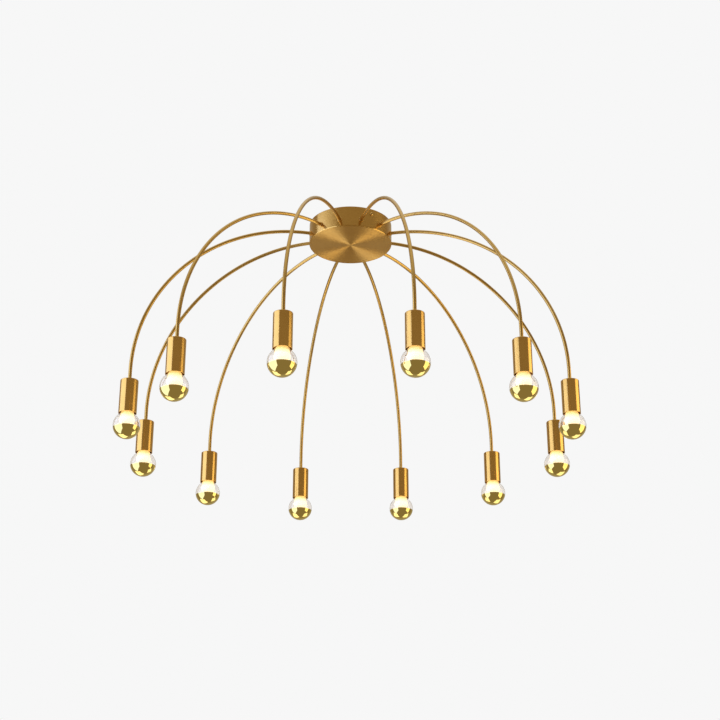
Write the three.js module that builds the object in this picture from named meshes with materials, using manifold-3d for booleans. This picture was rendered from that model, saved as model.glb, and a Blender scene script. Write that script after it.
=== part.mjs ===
// A twelve-arm ceiling light: a round brass canopy, twelve thin bent tubes that arch out and down
// from its wall like a fountain, and a half-mirrored globe lamp in a long holder on each tube.
// Millimetres, +Z up. The origin is the centre of the ceiling plane, and all of it hangs below.
import * as THREE from "three";
import { mergeVertices } from "three/addons/utils/BufferGeometryUtils.js";
import Module from "manifold-3d";

const wasm = await Module();
wasm.setup();

// ---- driving dimensions ----
const ARM_COUNT = 12;
const FIRST_ARM_DEG = 15;

const CANOPY_RADIUS = 74;
const CANOPY_HEIGHT = 38.5;
const CANOPY_WALL = 1.2;
const CANOPY_EDGE = 1.6; // fillet between the wall and the face
const CANOPY_SIDES = 48;

const TUBE_RADIUS = 3;
const TUBE_WALL = 0.8;
const ARM_ROOT_DEPTH = 24.5; // from the ceiling down to the line where the tubes leave the canopy
const ROOT_STRAIGHT = 3.5; // straight stretch between the canopy wall and the bend
const BEND_RADIUS = 300;
const END_STRAIGHT = 17.5; // straight stretch between the bend and the lamp cup
const ROOT_INSIDE = 9; // tube length inside the canopy wall
const BEND_STEPS = 10;

const COLLAR_RADIUS = TUBE_RADIUS + 1.4;
const COLLAR_LENGTH = 2;
const NUT_RADIUS = TUBE_RADIUS + 2.8;
const NUT_LENGTH = 3;

const CUP_RADIUS = 15;
const CUP_WALL = 1;
const CUP_LENGTH = 58;
const CUP_TOP = 1.5;
const CUP_EDGE = 0.8;

const NIPPLE_RADIUS = TUBE_RADIUS + 2;
const NIPPLE_LENGTH = 12.5;
const HOLDER_RADIUS = CUP_RADIUS - CUP_WALL - 1.2;
const HOLDER_SIDES = 10;
const HOLDER_INSET = 9; // from the cup's mouth up to the holder's mouth
const HOLDER_GAP = 8.5; // from the cup's ceiling down to the holder's top
const HOLDER_SOCKET = 7; // depth of the threaded seat that takes the nipple

const GLOBE_RADIUS = 22.5;
const GLOBE_DROP = GLOBE_RADIUS - 1.5; // from the cup's mouth down to the globe's centre
const GLASS_WALL = 1;
const SHOULDER_DEG = 42; // where the neck leaves the globe, above its equator
const NECK_AT_MOUTH = CUP_RADIUS - CUP_WALL - 1.7;
const CAP_RADIUS = 7;
const CAP_START = GLOBE_DROP + 8; // above the globe's centre
const CAP_LENGTH = 24;
const TIP_RADIUS = 2.6;
const TIP_LENGTH = 2;
const VENT_RADIUS = 1.2;

const BRACKET_WIDTH = 24;
const BRACKET_THICKNESS = 2;
const BRACKET_LEG = 14;
const BRACKET_DEG = -60; // the strap lies between two arms
const SLOT_WIDTH = 5;
const SLOT_LENGTH = 20;
const SLOT_CENTRE = 44;
const SCREW_DEPTH = 10; // side screws, below the ceiling
const SCREW_RADIUS = 1.9;
const SCREW_HEAD_RADIUS = 2.8;
const SCREW_HEAD = 2.2;

const BLOCK = { length: 32, width: 17, height: 15 };
const EARTH_AT = 26;
const EARTH_HEAD_RADIUS = 3.8;
const EARTH_HEAD = 2.6;
const EARTH_WIRE_RADIUS = 1.1;
const CABLE_RADIUS = 1.3;
const SPLICE_RADIUS = 8;
const SPLICE_BELOW = 3; // the splice reaches this far under the cables

const GAP = 0.3; // between pieces that touch
const FIT = 0.4; // around a piece in its hole

// ---- places worked out from them ----
const wallInside = CANOPY_RADIUS - CANOPY_WALL;
const wallClear = wallInside * Math.cos(Math.PI / CANOPY_SIDES) - GAP; // free radius inside its flats
const bendStart = CANOPY_RADIUS + ROOT_STRAIGHT;
const ringRadius = bendStart + BEND_RADIUS;
const bendEndZ = -(ARM_ROOT_DEPTH + BEND_RADIUS);
const cupTopZ = bendEndZ - END_STRAIGHT;
const cupCeilingZ = cupTopZ - CUP_TOP;
const cupMouthZ = cupTopZ - CUP_LENGTH;
const holderTopZ = cupCeilingZ - HOLDER_GAP;
const holderMouthZ = cupMouthZ + HOLDER_INSET;
const globeZ = cupMouthZ - GLOBE_DROP;
const capTipZ = globeZ + CAP_START + CAP_LENGTH + TIP_LENGTH;
const nippleTopZ = cupCeilingZ - GAP;
const nippleEndZ = nippleTopZ - NIPPLE_LENGTH;
const cableEndZ = holderTopZ - HOLDER_SOCKET - 4;
const blockTopZ = -(BRACKET_THICKNESS + GAP);
const blockBottomZ = blockTopZ - BLOCK.height;
const armAngles = Array.from({ length: ARM_COUNT }, (_, i) =>
  THREE.MathUtils.degToRad(FIRST_ARM_DEG + (i * 360) / ARM_COUNT),
);
const bracketAngle = THREE.MathUtils.degToRad(BRACKET_DEG);

// ---- finishes ----
function finish(color, roughness, metalness) {
  return new THREE.MeshStandardMaterial({ color, roughness, metalness });
}
const satinBrass = finish(0xb8862f, 0.35, 1);
const tubeBrass = finish(0xc08e3c, 0.3, 1);
const zincSteel = finish(0xb9bcc0, 0.45, 1);
const screwSteel = finish(0xc4c6c8, 0.35, 1);
const screwBrass = finish(0xb07c2c, 0.3, 1);
const holderPlastic = finish(0xe6e0d0, 0.45, 0);
const blockPlastic = finish(0xe9e6dc, 0.5, 0);
const cableSheath = finish(0xd8d5cc, 0.6, 0);
const earthSheath = finish(0x4f8f2c, 0.6, 0);
const lampGlass = finish(0xd9c35a, 0.06, 0.6);

// ---- solids ----
function toSolid(geometry) {
  const bare = geometry.clone();
  bare.deleteAttribute("normal");
  bare.deleteAttribute("uv");
  const merged = mergeVertices(bare, 1e-3);
  return new wasm.Manifold(
    new wasm.Mesh({
      numProp: 3,
      vertProperties: merged.attributes.position.array,
      triVerts: new Uint32Array(merged.index.array),
    }),
  );
}

function toGeometry(solid) {
  const mesh = solid.getMesh();
  const geometry = new THREE.BufferGeometry();
  geometry.setAttribute("position", new THREE.BufferAttribute(mesh.vertProperties, 3));
  geometry.setIndex(new THREE.BufferAttribute(mesh.triVerts, 1));
  geometry.computeVertexNormals();
  return geometry;
}

// A turned piece from [radius, height] pairs that run up its outside, about Z.
function turned(profile, segments) {
  const points = profile.map(([r, z]) => new THREE.Vector2(r, z));
  return new THREE.LatheGeometry(points, segments).rotateX(Math.PI / 2);
}

// A round bar from one height to another, about Z.
function bar(radius, fromZ, toZ, segments) {
  const length = Math.abs(toZ - fromZ);
  return new THREE.CylinderGeometry(radius, radius, length, segments)
    .rotateX(Math.PI / 2)
    .translate(0, 0, (fromZ + toZ) / 2);
}

// A round bar along X at a height.
function crossBar(radius, fromX, toX, z, segments) {
  return bar(radius, fromX, toX, segments).rotateY(Math.PI / 2).translate(0, 0, z);
}

function arcPoints(radius, centreZ, fromDeg, toDeg, count) {
  return Array.from({ length: count + 1 }, (_, i) => {
    const a = THREE.MathUtils.degToRad(fromDeg + ((toDeg - fromDeg) * i) / count);
    return [Math.max(0, radius * Math.cos(a)), centreZ + radius * Math.sin(a)];
  });
}

function circlePoints(radius, count) {
  return Array.from({ length: count }, (_, i) => {
    const a = ((i + 0.5) * 2 * Math.PI) / count;
    return new THREE.Vector2(radius * Math.cos(a), radius * Math.sin(a));
  });
}

// The centreline of an arm in its own XZ plane: level from startX, a quarter bend, then straight down.
// The first and last steps are the two straight stretches, and the bend takes the steps between.
class ArmLine extends THREE.Curve {
  constructor(startX, endZ) {
    super();
    this.startX = startX;
    this.endZ = endZ;
    this.steps = BEND_STEPS + 2;
  }
  getUtoTmapping(u) {
    return u;
  }
  getPoint(t, target = new THREE.Vector3()) {
    const step = t * this.steps;
    if (step <= 1) {
      return target.set(THREE.MathUtils.lerp(this.startX, bendStart, step), 0, -ARM_ROOT_DEPTH);
    }
    if (step >= 1 + BEND_STEPS) {
      const z = THREE.MathUtils.lerp(bendEndZ, this.endZ, step - 1 - BEND_STEPS);
      return target.set(ringRadius, 0, z);
    }
    const a = ((step - 1) / BEND_STEPS) * (Math.PI / 2);
    return target.set(
      bendStart + BEND_RADIUS * Math.sin(a),
      0,
      bendEndZ + BEND_RADIUS * Math.cos(a),
    );
  }
}

function swept(shape, line, steps = line.steps) {
  return new THREE.ExtrudeGeometry(shape, { extrudePath: line, steps, bevelEnabled: false });
}

function turnedTo(solid, angle) {
  return solid.rotate([0, 0, THREE.MathUtils.radToDeg(angle)]);
}

// ---- the pieces ----
function canopyShell() {
  const edge = arcPoints(CANOPY_EDGE, CANOPY_EDGE - CANOPY_HEIGHT, -90, 0, 3).map(([r, z]) => [
    r + CANOPY_RADIUS - CANOPY_EDGE,
    z,
  ]);
  const cup = turned(
    [[0, -CANOPY_HEIGHT], ...edge, [CANOPY_RADIUS, 0], [wallInside, 0],
      [wallInside, CANOPY_WALL - CANOPY_HEIGHT], [0, CANOPY_WALL - CANOPY_HEIGHT]],
    CANOPY_SIDES,
  );
  let shell = toSolid(cup);
  const armHole = toSolid(
    crossBar(TUBE_RADIUS + FIT, wallInside - 3, CANOPY_RADIUS + 3, -ARM_ROOT_DEPTH, 10),
  );
  armAngles.forEach((angle) => {
    shell = shell.subtract(turnedTo(armHole, angle));
  });
  const screwHole = toSolid(
    crossBar(SCREW_RADIUS + FIT, wallInside - 3, CANOPY_RADIUS + 3, -SCREW_DEPTH, 10),
  );
  [bracketAngle, bracketAngle + Math.PI].forEach((angle) => {
    shell = shell.subtract(turnedTo(screwHole, angle));
  });
  return toGeometry(shell);
}

// The strap's outer faces stop short of the round wall, measured at the strap's corners.
const bracketReach = Math.sqrt(wallClear ** 2 - (BRACKET_WIDTH / 2) ** 2);

function mountingBracket() {
  const inner = bracketReach - BRACKET_THICKNESS;
  const legZ = -(BRACKET_THICKNESS + BRACKET_LEG);
  const outline = new THREE.Shape();
  outline.moveTo(-bracketReach, 0);
  outline.lineTo(-bracketReach, legZ);
  outline.lineTo(-inner, legZ);
  outline.lineTo(-inner, -BRACKET_THICKNESS);
  outline.lineTo(inner, -BRACKET_THICKNESS);
  outline.lineTo(inner, legZ);
  outline.lineTo(bracketReach, legZ);
  outline.lineTo(bracketReach, 0);
  const strap = new THREE.ExtrudeGeometry(outline, { depth: BRACKET_WIDTH, bevelEnabled: false })
    .rotateX(Math.PI / 2)
    .translate(0, BRACKET_WIDTH / 2, 0);
  let bracket = toSolid(strap);

  const slot = new THREE.Shape();
  const half = (SLOT_LENGTH - SLOT_WIDTH) / 2;
  slot.absarc(half, 0, SLOT_WIDTH / 2, -Math.PI / 2, Math.PI / 2, false);
  slot.absarc(-half, 0, SLOT_WIDTH / 2, Math.PI / 2, Math.PI * 1.5, false);
  const cutter = new THREE.ExtrudeGeometry(slot, {
    depth: BRACKET_THICKNESS + 4,
    bevelEnabled: false,
    curveSegments: 6,
  }).translate(0, 0, -BRACKET_THICKNESS - 2);
  [-SLOT_CENTRE, SLOT_CENTRE].forEach((x) => {
    bracket = bracket.subtract(toSolid(cutter).translate([x, 0, 0]));
  });
  bracket = bracket.subtract(
    toSolid(bar(SCREW_RADIUS + FIT, -BRACKET_THICKNESS - 2, 2, 10)).translate([EARTH_AT, 0, 0]),
  );
  const reach = bracketReach + 3;
  bracket = bracket.subtract(
    toSolid(crossBar(SCREW_RADIUS + FIT, -reach, reach, -SCREW_DEPTH, 10)),
  );
  return toGeometry(bracket);
}

// A side screw along +X: a domed head outside the wall and a shank through the strap's leg.
function canopyScrew() {
  const seat = CANOPY_RADIUS + GAP;
  const end = bracketReach - BRACKET_THICKNESS - 4;
  const screw = turned(
    [[0, end], [SCREW_RADIUS, end], [SCREW_RADIUS, seat], [SCREW_HEAD_RADIUS, seat],
      [SCREW_HEAD_RADIUS, seat + SCREW_HEAD * 0.5],
      [SCREW_HEAD_RADIUS * 0.6, seat + SCREW_HEAD], [0, seat + SCREW_HEAD]],
    10,
  );
  return screw.rotateY(Math.PI / 2).translate(0, 0, -SCREW_DEPTH);
}

function terminalBlock() {
  const corner = 1.5;
  const x = BLOCK.length / 2;
  const y = BLOCK.width / 2;
  const outline = new THREE.Shape();
  outline.moveTo(-x + corner, -y);
  outline.lineTo(x - corner, -y);
  outline.lineTo(x, -y + corner);
  outline.lineTo(x, y - corner);
  outline.lineTo(x - corner, y);
  outline.lineTo(-x + corner, y);
  outline.lineTo(-x, y - corner);
  outline.lineTo(-x, -y + corner);
  return new THREE.ExtrudeGeometry(outline, {
    depth: BLOCK.height,
    bevelEnabled: false,
  }).translate(0, 0, blockBottomZ);
}

function earthScrew() {
  const under = -(BRACKET_THICKNESS + GAP);
  const screw = turned(
    [[0, under - EARTH_HEAD], [EARTH_HEAD_RADIUS, under - EARTH_HEAD], [EARTH_HEAD_RADIUS, under],
      [SCREW_RADIUS, under], [SCREW_RADIUS, -GAP], [0, -GAP]],
    12,
  );
  return screw.translate(EARTH_AT, 0, 0);
}

function earthLead() {
  const headSide = EARTH_AT - EARTH_HEAD_RADIUS - 2 * GAP;
  const blockSide = BLOCK.length / 2 + 2 * GAP;
  const headZ = -(BRACKET_THICKNESS + GAP + EARTH_HEAD / 2);
  const line = new THREE.CatmullRomCurve3([
    new THREE.Vector3(headSide, 0, headZ),
    new THREE.Vector3(headSide - 1.5, 0, headZ - 1),
    new THREE.Vector3(headSide - 2.5, 0, headZ - 5),
    new THREE.Vector3(blockSide + 1.5, 0, headZ - 7),
    new THREE.Vector3(blockSide, 0, headZ - 7),
  ]);
  return swept(new THREE.Shape(circlePoints(EARTH_WIRE_RADIUS, 6)), line, 8);
}

// Twelve two-core cables, one through each arm, joined in an insulated splice under the block.
function lampWiring() {
  const line = new ArmLine(SPLICE_RADIUS - 2, cableEndZ);
  const cable = toSolid(swept(new THREE.Shape(circlePoints(CABLE_RADIUS, 4)), line));
  const splice = bar(SPLICE_RADIUS, -ARM_ROOT_DEPTH - SPLICE_BELOW, blockBottomZ - GAP, 12);
  let wiring = toSolid(splice);
  armAngles.forEach((angle) => {
    wiring = wiring.add(turnedTo(cable, angle));
  });
  return toGeometry(wiring);
}

// The flat nut stands off the round wall inside the canopy until its corners clear it.
const nutFrom = Math.sqrt(wallClear ** 2 - NUT_RADIUS ** 2);

// One bent tube along +X, with its collar and lock nut at the wall and its nipple in the cup.
function armTube() {
  const ring = new THREE.Shape(circlePoints(TUBE_RADIUS, 8));
  const start = wallInside - ROOT_INSIDE;
  let arm = toSolid(swept(ring, new ArmLine(start, nippleEndZ)));
  const collarFrom = CANOPY_RADIUS + GAP;
  const collar = crossBar(COLLAR_RADIUS, collarFrom, collarFrom + COLLAR_LENGTH, -ARM_ROOT_DEPTH, 8);
  const nut = crossBar(NUT_RADIUS, nutFrom - NUT_LENGTH, nutFrom, -ARM_ROOT_DEPTH, 6);
  const nipple = bar(NIPPLE_RADIUS, nippleTopZ, nippleEndZ, 8).translate(ringRadius, 0, 0);
  arm = arm.add(toSolid(collar)).add(toSolid(nut)).add(toSolid(nipple));
  const bore = new THREE.Shape(circlePoints(TUBE_RADIUS - TUBE_WALL, 6));
  arm = arm.subtract(toSolid(swept(bore, new ArmLine(start - 2, nippleEndZ - 2))));
  return toGeometry(arm);
}

function lampCup() {
  return turned(
    [[CUP_RADIUS - CUP_WALL, cupMouthZ], [CUP_RADIUS, cupMouthZ], [CUP_RADIUS, cupTopZ - CUP_EDGE],
      [CUP_RADIUS - CUP_EDGE, cupTopZ], [TUBE_RADIUS + GAP, cupTopZ],
      [TUBE_RADIUS + GAP, cupCeilingZ], [CUP_RADIUS - CUP_WALL, cupCeilingZ],
      [CUP_RADIUS - CUP_WALL, cupMouthZ]],
    16,
  );
}

// Its holes are sized across their flats.
function lampHolder() {
  const flats = Math.cos(Math.PI / HOLDER_SIDES);
  const seat = (NIPPLE_RADIUS + GAP) / flats;
  const bore = (CAP_RADIUS + FIT) / flats;
  const wireHole = (TUBE_RADIUS - TUBE_WALL + FIT) / flats;
  return turned(
    [[bore, holderMouthZ], [HOLDER_RADIUS, holderMouthZ], [HOLDER_RADIUS, holderTopZ],
      [seat, holderTopZ], [seat, holderTopZ - HOLDER_SOCKET], [wireHole, holderTopZ - HOLDER_SOCKET],
      [wireHole, capTipZ + 2 * FIT], [bore, capTipZ + 2 * FIT], [bore, holderMouthZ]],
    HOLDER_SIDES,
  );
}

// A hollow globe with its screw cap. The cap's tip is open, where the lead wire comes out.
function lampBulb() {
  const inner = GLOBE_RADIUS - GLASS_WALL;
  const capTop = CAP_START + CAP_LENGTH;
  return turned(
    [...arcPoints(GLOBE_RADIUS, globeZ, -90, SHOULDER_DEG, 6),
      [NECK_AT_MOUTH, globeZ + GLOBE_DROP],
      [(CAP_RADIUS + NECK_AT_MOUTH) / 2 - 1, globeZ + CAP_START - 2],
      [CAP_RADIUS, globeZ + CAP_START],
      [CAP_RADIUS, globeZ + capTop - 2],
      [TIP_RADIUS, globeZ + capTop],
      [TIP_RADIUS, capTipZ],
      [VENT_RADIUS, capTipZ],
      [VENT_RADIUS, globeZ + capTop - 3],
      [CAP_RADIUS - GLASS_WALL, globeZ + CAP_START - 1],
      [NECK_AT_MOUTH - GLASS_WALL, globeZ + GLOBE_DROP - 0.5],
      ...arcPoints(inner, globeZ, SHOULDER_DEG, -90, 3)],
    ARM_COUNT,
  ).rotateZ(Math.PI / ARM_COUNT);
}

// ---- assembly ----
const light = new THREE.Group();

function place(name, geometry, material, parent = light) {
  const mesh = new THREE.Mesh(geometry, material);
  mesh.name = name;
  parent.add(mesh);
  return mesh;
}

place("canopy_shell", canopyShell(), satinBrass);
place("lamp_wiring", lampWiring(), cableSheath);

const strapGroup = new THREE.Group();
strapGroup.rotation.z = bracketAngle;
light.add(strapGroup);
place("mounting_bracket", mountingBracket(), zincSteel, strapGroup);
place("canopy_screw_front", canopyScrew(), screwBrass, strapGroup);
place("canopy_screw_back", canopyScrew(), screwBrass, strapGroup).rotation.z = Math.PI;
place("terminal_block", terminalBlock(), blockPlastic, strapGroup);
place("earth_screw", earthScrew(), screwSteel, strapGroup);
place("earth_lead", earthLead(), earthSheath, strapGroup);

const armGeometry = armTube();
const cupGeometry = lampCup();
const holderGeometry = lampHolder();
const bulbGeometry = lampBulb();
armAngles.forEach((angle, i) => {
  const number = String(i + 1).padStart(2, "0");
  const branch = new THREE.Group();
  branch.rotation.z = angle;
  light.add(branch);
  place(`arm_${number}`, armGeometry, tubeBrass, branch);
  const lamp = new THREE.Group();
  lamp.position.x = ringRadius;
  branch.add(lamp);
  place(`lamp_cup_${number}`, cupGeometry, satinBrass, lamp);
  place(`lamp_holder_${number}`, holderGeometry, holderPlastic, lamp);
  place(`bulb_${number}`, bulbGeometry, lampGlass, lamp);
});

export default light;
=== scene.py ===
"""The look of a twelve-arm brass ceiling light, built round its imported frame.

Each class below is one sub-assembly of the light: the canopy against the ceiling, the fixings and wiring
inside it, the bent arms, the lamp cups and the half-mirrored globe lamps. The main places and outer sizes
are read from the frame's nodes. The others are fields of the class that uses them, or stand in the profile
that they shape. Metres, +Z up.
"""

import logging
import math
from dataclasses import dataclass
from enum import Enum

import bmesh
import bpy
from mathutils import Matrix, Vector

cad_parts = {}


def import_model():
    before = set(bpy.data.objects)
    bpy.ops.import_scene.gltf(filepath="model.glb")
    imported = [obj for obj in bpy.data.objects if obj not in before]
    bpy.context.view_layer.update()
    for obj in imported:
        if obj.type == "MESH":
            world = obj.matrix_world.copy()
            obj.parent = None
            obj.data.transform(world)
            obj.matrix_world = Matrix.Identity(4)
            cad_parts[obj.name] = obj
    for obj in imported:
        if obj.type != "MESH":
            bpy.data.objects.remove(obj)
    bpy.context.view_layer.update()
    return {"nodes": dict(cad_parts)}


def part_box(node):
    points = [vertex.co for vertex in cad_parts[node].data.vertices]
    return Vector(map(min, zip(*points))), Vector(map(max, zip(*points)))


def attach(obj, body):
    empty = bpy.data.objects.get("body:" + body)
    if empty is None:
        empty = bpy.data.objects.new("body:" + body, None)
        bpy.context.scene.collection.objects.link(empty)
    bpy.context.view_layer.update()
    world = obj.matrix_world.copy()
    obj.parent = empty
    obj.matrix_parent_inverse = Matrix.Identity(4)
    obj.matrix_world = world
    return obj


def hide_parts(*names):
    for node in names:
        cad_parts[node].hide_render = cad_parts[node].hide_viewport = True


LOG = logging.getLogger("ceiling_light")
FIXED_BODY = "light_frame"
MM = 0.001
LAYER_GAP = 0.3 * MM  # between pieces stacked under the strap
LAMP_PITCH = 2.82 * MM  # one turn of the lamps' screw thread
SIDEWAYS = Matrix.Rotation(math.radians(90), 4, "Y")  # turns a piece's Z axis to +X
INVERTED = Matrix.Rotation(math.pi, 4, "X")

Colour = tuple[float, float, float]


class Grain(Enum):
    """Which way the fine lines of a worked surface run."""

    AROUND = "around"
    ALONG = "along"
    NONE = "none"


class NodeSheet:
    """A material's node tree, with short ways to add the nodes that the finishes share."""

    def __init__(self, name: str) -> None:
        """Starts an empty material.

        Args:
            name: the material's name.
        """
        self.material = bpy.data.materials.new(name)
        self.material.use_nodes = True
        self.tree = self.material.node_tree
        self.tree.nodes.clear()
        self.output = self.tree.nodes.new("ShaderNodeOutputMaterial")

    def add(self, kind: str, **settings: object) -> bpy.types.Node:
        """Adds a node and sets its properties.

        Args:
            kind: the node's type name.
            settings: properties of the node, by name.

        Returns:
            The new node.
        """
        node = self.tree.nodes.new(kind)
        for key, value in settings.items():
            setattr(node, key, value)
        return node

    def link(self, source: bpy.types.NodeSocket, target: bpy.types.NodeSocket) -> None:
        """Joins an output socket to an input socket."""
        self.tree.links.new(source, target)

    def feed(self, value: object, slot: bpy.types.NodeSocket) -> None:
        """Gives an input a socket to read, or a number or colour as its constant.

        Args:
            value: an output socket, a number, or a colour.
            slot: the input.
        """
        if isinstance(value, bpy.types.NodeSocket):
            self.link(value, slot)
        elif isinstance(value, tuple):
            slot.default_value = (*value, 1.0)
        else:
            slot.default_value = value

    def place(self) -> bpy.types.NodeSocket:
        """Returns the piece's own coordinates."""
        return self.add("ShaderNodeTexCoord").outputs["Object"]

    def part(self, vector: bpy.types.NodeSocket, index: int) -> bpy.types.NodeSocket:
        """Returns one coordinate of a vector: 0 for X, 1 for Y, 2 for Z."""
        split = self.add("ShaderNodeSeparateXYZ")
        self.link(vector, split.inputs[0])
        return split.outputs[index]

    def surface(self, shader: bpy.types.Node) -> bpy.types.Material:
        """Makes a shader node the surface and returns the material."""
        self.link(shader.outputs[0], self.output.inputs["Surface"])
        return self.material

    def math(self, operation: str, first: object, second: object = None) -> bpy.types.NodeSocket:
        """Adds a Math node whose inputs are sockets or numbers.

        Args:
            operation: the Math node's operation.
            first: the first input.
            second: the second input, if the operation has one.

        Returns:
            The node's output.
        """
        node = self.add("ShaderNodeMath", operation=operation)
        for slot, value in zip(node.inputs, (first, second)):
            if value is not None:
                self.feed(value, slot)
        return node.outputs[0]

    def noise(self, where: bpy.types.NodeSocket, scale: float, detail: float = 3.0) -> bpy.types.NodeSocket:
        """Adds a noise texture.

        Args:
            where: the coordinates it reads.
            scale: cells per unit of the coordinates.
            detail: octaves of finer noise.

        Returns:
            The noise value, about 0.5 on average.
        """
        node = self.add("ShaderNodeTexNoise")
        self.link(where, node.inputs["Vector"])
        node.inputs["Scale"].default_value = scale
        node.inputs["Detail"].default_value = detail
        return node.outputs["Fac"]

    def spread(self, value: bpy.types.NodeSocket, low: float, high: float) -> bpy.types.NodeSocket:
        """Maps the middle of a noise value's range to a range of numbers.

        Args:
            value: the noise value.
            low: the number at a noise value of 0.3.
            high: the number at a noise value of 0.7.

        Returns:
            The mapped value.
        """
        node = self.ramp(value, 0.3, 0.7)
        node.inputs["To Min"].default_value = low
        node.inputs["To Max"].default_value = high
        return node.outputs[0]

    def ramp(self, value: bpy.types.NodeSocket, start: float, end: float) -> bpy.types.Node:
        """Adds a node that rises from 0 to 1 between two values.

        Args:
            value: the value it reads.
            start: the value that gives 0.
            end: the value that gives 1.

        Returns:
            The node.
        """
        node = self.add("ShaderNodeMapRange")
        self.link(value, node.inputs["Value"])
        node.inputs["From Min"].default_value = start
        node.inputs["From Max"].default_value = end
        return node

    def mix(self, factor: object, first: object, second: object) -> bpy.types.NodeSocket:
        """Mixes two colours.

        Args:
            factor: a socket or a number from 0 to 1.
            first: a colour or a colour socket, shown at 0.
            second: a colour or a colour socket, shown at 1.

        Returns:
            The mixed colour.
        """
        node = self.add("ShaderNodeMix", data_type="RGBA")
        for slot, value in ((node.inputs[0], factor), (node.inputs[6], first), (node.inputs[7], second)):
            self.feed(value, slot)
        return node.outputs[2]

    def grain_coordinates(self, grain: Grain, fine: float, coarse: float) -> bpy.types.NodeSocket:
        """Coordinates that stretch a noise into lines along or around a turned or swept piece.

        Args:
            grain: the way the lines run.
            fine: lines per metre across the grain.
            coarse: changes per metre, or per radian, along it.

        Returns:
            The coordinates.
        """
        if grain is Grain.NONE:
            stretched = self.add("ShaderNodeMapping")
            self.link(self.place(), stretched.inputs["Vector"])
            stretched.inputs["Scale"].default_value = (fine * 0.05, fine * 0.4, fine * 0.4)
            return stretched.outputs[0]
        split = self.add("ShaderNodeSeparateXYZ")
        self.link(self.add("ShaderNodeUVMap").outputs[0], split.inputs[0])
        turn = self.math("MULTIPLY", split.outputs[0], 2 * math.pi)
        around, along = (coarse, fine) if grain is Grain.AROUND else (fine * 0.003, coarse)
        joined = self.add("ShaderNodeCombineXYZ")
        self.link(self.math("MULTIPLY", self.math("COSINE", turn), around), joined.inputs[0])
        self.link(self.math("MULTIPLY", self.math("SINE", turn), around), joined.inputs[1])
        self.link(self.math("MULTIPLY", split.outputs[1], along), joined.inputs[2])
        return joined.outputs[0]

    def bump(self, height: bpy.types.NodeSocket, distance: float, strength: float) -> bpy.types.NodeSocket:
        """Adds a bump from a height value.

        Args:
            height: the height, 0 to 1.
            distance: how tall a height of 1 is.
            strength: the bump's strength.

        Returns:
            The bumped normal.
        """
        node = self.add("ShaderNodeBump")
        self.link(height, node.inputs["Height"])
        node.inputs["Distance"].default_value = distance
        node.inputs["Strength"].default_value = strength
        return node.outputs[0]


@dataclass(frozen=True)
class WorkedMetal:
    """A plated or lacquered metal with brushing lines, faint clouds, handling marks and brighter edges."""

    name: str
    colour: Colour
    deep_colour: Colour
    edge_colour: Colour | None
    roughness: float
    grain: Grain = Grain.NONE
    stretch: float = 0.0
    line_depth: float = 0.000004
    lines_per_metre: float = 6000.0
    lacquer: float = 0.0

    def material(self) -> bpy.types.Material:
        """Builds the node tree.

        Returns:
            The material.
        """
        sheet = NodeSheet(self.name)
        shader = sheet.add("ShaderNodeBsdfPrincipled")
        place = sheet.place()
        lines = sheet.noise(sheet.grain_coordinates(self.grain, self.lines_per_metre, 2.5), 1.0, 4.0)
        bands = sheet.noise(sheet.grain_coordinates(self.grain, self.lines_per_metre / 8, 1.2), 1.0, 2.0)
        clouds = sheet.noise(place, 26.0, 2.0)
        marks = sheet.noise(place, 130.0, 5.0)
        tone = sheet.mix(sheet.spread(clouds, 0.0, 0.45), self.colour, self.deep_colour)
        tone = sheet.mix(sheet.spread(bands, 0.0, 0.15), tone, self.deep_colour)
        if self.edge_colour:
            edge = sheet.add("ShaderNodeValToRGB")
            sheet.link(sheet.add("ShaderNodeNewGeometry").outputs["Pointiness"], edge.inputs[0])
            edge.color_ramp.elements[0].position = 0.53
            edge.color_ramp.elements[1].position = 0.6
            tone = sheet.mix(edge.outputs[0], tone, self.edge_colour)
        sheet.link(tone, shader.inputs["Base Color"])
        rough = sheet.math(
            "ADD",
            sheet.spread(bands, self.roughness * 0.9, self.roughness * 1.1),
            sheet.spread(marks, -0.01, 0.02),
        )
        sheet.link(rough, shader.inputs["Roughness"])
        # Lines along a thin tube show in its tone only, without a bump.
        if self.grain is not Grain.ALONG:
            sheet.link(sheet.bump(lines, self.line_depth, 0.2), shader.inputs["Normal"])
        shader.inputs["Metallic"].default_value = 1.0
        shader.inputs["Coat Weight"].default_value = self.lacquer
        shader.inputs["Coat Roughness"].default_value = 0.12
        if self.stretch:
            tangent = sheet.add("ShaderNodeTangent", direction_type="UV_MAP")
            sheet.link(tangent.outputs[0], shader.inputs["Tangent"])
            shader.inputs["Anisotropic"].default_value = self.stretch
            if self.grain is Grain.AROUND:
                shader.inputs["Anisotropic Rotation"].default_value = 0.25
        return sheet.surface(shader)


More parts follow.
